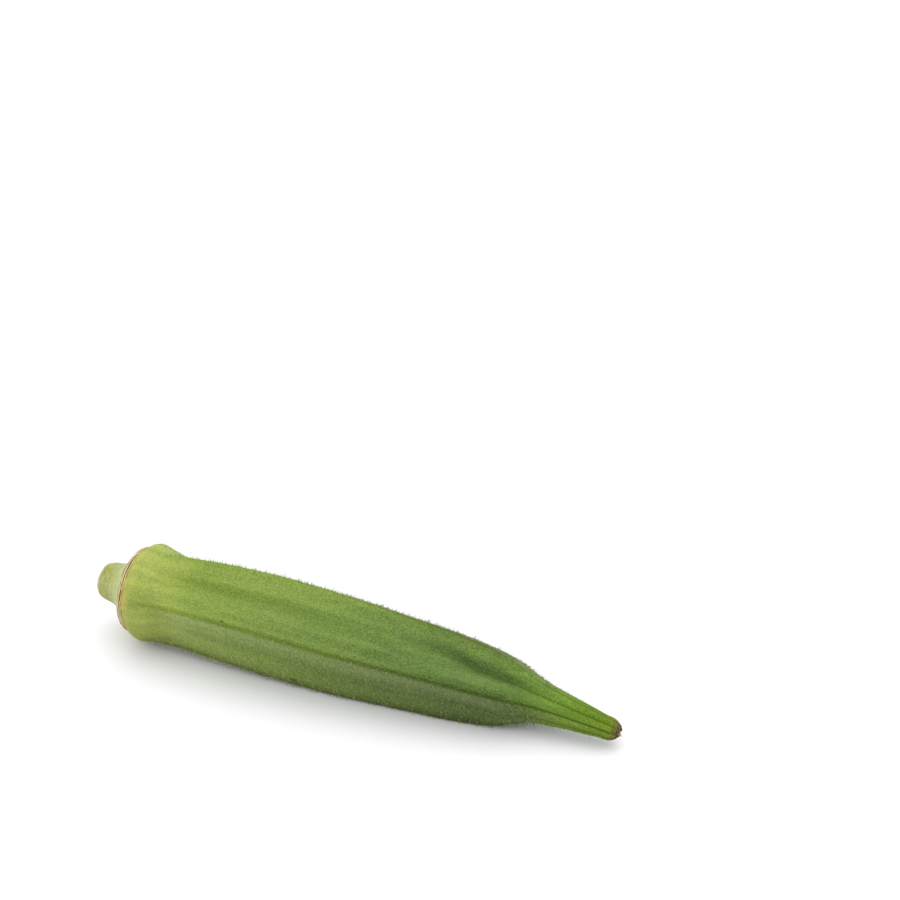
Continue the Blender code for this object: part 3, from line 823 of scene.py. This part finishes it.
# None grow underneath. Hairs that would reach through the table are pressed sideways by it, and
# those that still reach it are dropped.
heading = add(tree, "GeometryNodeInputNamedAttribute", "heading", data_type="FLOAT_VECTOR")
size = add(tree, "GeometryNodeInputNamedAttribute", "size")
position = add(tree, "ShaderNodeSeparateXYZ", add(tree, "GeometryNodeInputPosition"))
pointing = add(tree, "ShaderNodeSeparateXYZ", heading)
under = add(tree, MATH, pointing.outputs["Z"], UNDERSIDE, operation="LESS_THAN")
points = add(tree, "GeometryNodeDeleteGeometry", points,
             add(tree, MATH, under, add(tree, MATH, position.outputs["Z"], NO_GROWTH * MM,
                                        operation="LESS_THAN"), operation="MULTIPLY"),
             domain="POINT")
room = add(tree, MATH, add(tree, MATH, PRESSED_TO * MM, position.outputs["Z"],
                           operation="SUBTRACT"),
           add(tree, MATH, size, add(tree, MATH, given["Length"], MM, operation="MULTIPLY"),
               operation="MULTIPLY"), operation="DIVIDE")
lowest = add(tree, MATH, pointing.outputs["Z"], room, operation="MAXIMUM")
pressed = add(tree, VECTOR_MATH, add(tree, "ShaderNodeCombineXYZ", pointing.outputs["X"],
                                     pointing.outputs["Y"], lowest), operation="NORMALIZE")
points = add(tree, "GeometryNodeStoreNamedAttribute", points, None, "heading", pressed,
             data_type="FLOAT_VECTOR")
tone = add(tree, "FunctionNodeRandomValue", add(tree, MATH, given["Paleness"], 0.3,
                                                operation="SUBTRACT"),
           add(tree, MATH, given["Paleness"], 0.3, operation="ADD"), None, 9, data_type="FLOAT")
points = add(tree, "GeometryNodeStoreNamedAttribute", points, None, "hair_tone", tone)
heading = add(tree, "GeometryNodeInputNamedAttribute", "heading", data_type="FLOAT_VECTOR")
size = add(tree, "GeometryNodeInputNamedAttribute", "size")
tip_rise = add(tree, MATH, add(tree, "ShaderNodeSeparateXYZ", heading).outputs["Z"],
               add(tree, MATH, size, given["Length"], operation="MULTIPLY"), operation="MULTIPLY")
position = add(tree, "ShaderNodeSeparateXYZ", add(tree, "GeometryNodeInputPosition"))
tip_height = add(tree, MATH, position.outputs["Z"],
                 add(tree, MATH, tip_rise, MM, operation="MULTIPLY"), operation="ADD")
points = add(tree, "GeometryNodeDeleteGeometry", points,
             add(tree, MATH, tip_height, LEAST_CLEAR * MM, operation="LESS_THAN"),
             domain="POINT")
hair = add(tree, "GeometryNodeMeshCone", 3, given["Segments"], 1, 0.0,
           add(tree, MATH, given["Radius"], MM, operation="MULTIPLY"),
           add(tree, MATH, given["Length"], MM, operation="MULTIPLY")).outputs["Mesh"]
position = add(tree, "ShaderNodeSeparateXYZ", add(tree, "GeometryNodeInputPosition"))
up_share = add(tree, MATH, position.outputs["Z"],
               add(tree, MATH, given["Length"], MM, operation="MULTIPLY"), operation="DIVIDE")
hair = add(tree, "GeometryNodeStoreNamedAttribute", hair, None, "hair_height", up_share)
up_share = add(tree, "GeometryNodeInputNamedAttribute", "hair_height")
bow = add(tree, MATH, add(tree, MATH, up_share, up_share, operation="MULTIPLY"),
          add(tree, MATH, given["Bow"], MM, operation="MULTIPLY"), operation="MULTIPLY")
hair = add(tree, "GeometryNodeSetPosition", hair, None, None,
           add(tree, "ShaderNodeCombineXYZ", bow))
aligned = add(tree, "FunctionNodeAlignRotationToVector", None, 1.0, heading, axis="Z")
hairs = add(tree, "GeometryNodeInstanceOnPoints", points, None, hair, None, None, aligned, size)
shape = add(tree, "GeometryNodeRealizeInstances", hairs)
shape = add(tree, "GeometryNodeSetMaterial", shape, None, given["Material"])
add(tree, "NodeGroupOutput", shape)
for name, sizes in (
        ("face_down", dict(Density=5.0e6, Nearest=0.65, Farthest=0.1, Length=0.65, Radius=0.045,
                           Lean=0.75, Bow=0.25, Paleness=0.75, Bareness=0.0, Starts_at=9.0,
                           Full_from=30.0, Segments=1, Seed=3)),
        ("ridge_down", dict(Density=6.0e6, Nearest=0.2, Farthest=1.1, Length=1.15, Radius=0.05,
                            Lean=0.25, Bow=0.15, Paleness=0.35, Bareness=0.85, Starts_at=13.5,
                            Full_from=17.5, Segments=2, Seed=5))):
    coat = put(name, pod_wall.data.copy())
    grow(coat, tree, Material=hair_stuff, **sizes)
    piece(name, plain_mesh(coat))


# ---------------------------------------------------------------------------------------------
# Table and light. A pale matt table top in an evenly lit room, with a large soft lamp overhead.
FLOOR_HALF = 6.0
ROOM_LIGHT = 1.40
LAMP_SIDE, LAMP_POWER, LAMP_AT = 0.9, 1.4, (-0.15, 0.15, 0.95)
floor_material, tree = new_material("table_matt_white")
specks = add(tree, NOISE, add(tree, "ShaderNodeTexCoord").outputs["Object"], 60.0, 2.0, 0.5)
colour = add(tree, MIX, specks, "#E5E4E8", "#E8E7EB", data_type="RGBA")
shader = add(tree, "ShaderNodeBsdfPrincipled", colour, 0.0, 0.6, 1.45)
add(tree, "ShaderNodeOutputMaterial", shader)
floor_mesh = bpy.data.meshes.new("table")
floor_mesh.from_pydata([(-FLOOR_HALF, -FLOOR_HALF, 0.0), (FLOOR_HALF, -FLOOR_HALF, 0.0),
                        (FLOOR_HALF, FLOOR_HALF, 0.0), (-FLOOR_HALF, FLOOR_HALF, 0.0)],
                       [], [(0, 1, 2, 3)])
floor_mesh.materials.append(floor_material)
put("table", floor_mesh)

world = bpy.data.worlds.new("studio")
world.use_nodes = True
world.node_tree.nodes["Background"].inputs["Color"].default_value = linear("#FFFFFF")
world.node_tree.nodes["Background"].inputs["Strength"].default_value = ROOM_LIGHT
bpy.context.scene.world = world
bpy.context.scene.view_settings.view_transform = "Standard"

lamp = bpy.data.lights.new("soft_box", "AREA")
lamp.shape = "SQUARE"
lamp.size = LAMP_SIDE
lamp.energy = LAMP_POWER
light = put("soft_box", lamp)
light.location = LAMP_AT
light.rotation_euler = (middle - light.location).to_track_quat("-Z", "Y").to_euler()

bpy.data.objects.remove(spine)
